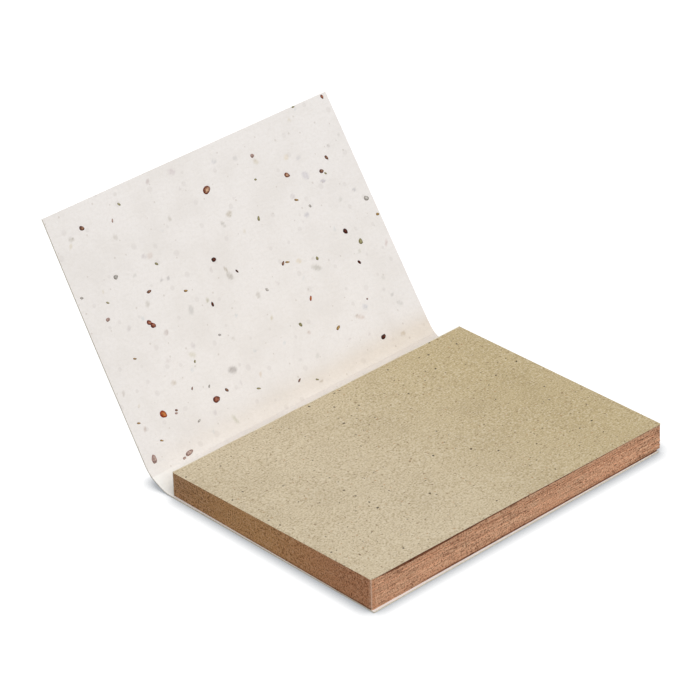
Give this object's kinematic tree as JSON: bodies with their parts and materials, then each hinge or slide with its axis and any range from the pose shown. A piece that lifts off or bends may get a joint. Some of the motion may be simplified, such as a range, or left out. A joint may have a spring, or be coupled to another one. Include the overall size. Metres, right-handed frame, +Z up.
{
  "type": "plantable cover notepad",
  "caption": "Glued pad of speckled kraft notepaper in a folded seed-paper cover that opens at a spine strip with creases on both sides.",
  "frame": {"origin": "middle of the back panel's underside, on the surface that the pad lies on", "axes": "+X along the spine, +Y from the free edge towards the spine, +Z up"},
  "size_m": [0.1057, 0.1241, 0.0641],
  "materials": {
    "kraft_paper": "uncoated speckled kraft paper",
    "padding_glue": "dried padding glue",
    "seed_paper": "rough handmade paper with seeds in it",
    "seeds": "dry seed husk"
  },
  "bodies": {
    "pad": {"page_block": "kraft_paper", "padding_glue": "padding_glue", "back_cover": "seed_paper"},
    "strip": {"spine_strip": "seed_paper"},
    "cover": {"front_cover": "seed_paper", "cover_seeds": "seeds"}
  },
  "joints": [
    {"name": "spine_fold", "type": "hinge", "parent": "pad", "child": "strip", "pos_m": [0, 0.0375, 0.00017], "axis": [1, 0, 0], "range_deg": [0, 72]},
    {"name": "cover_fold", "type": "hinge", "parent": "strip", "child": "cover", "pos_m": [0, 0.04482, 0.00253], "axis": [1, 0, 0], "range_deg": [-56, 48]}
  ]
}
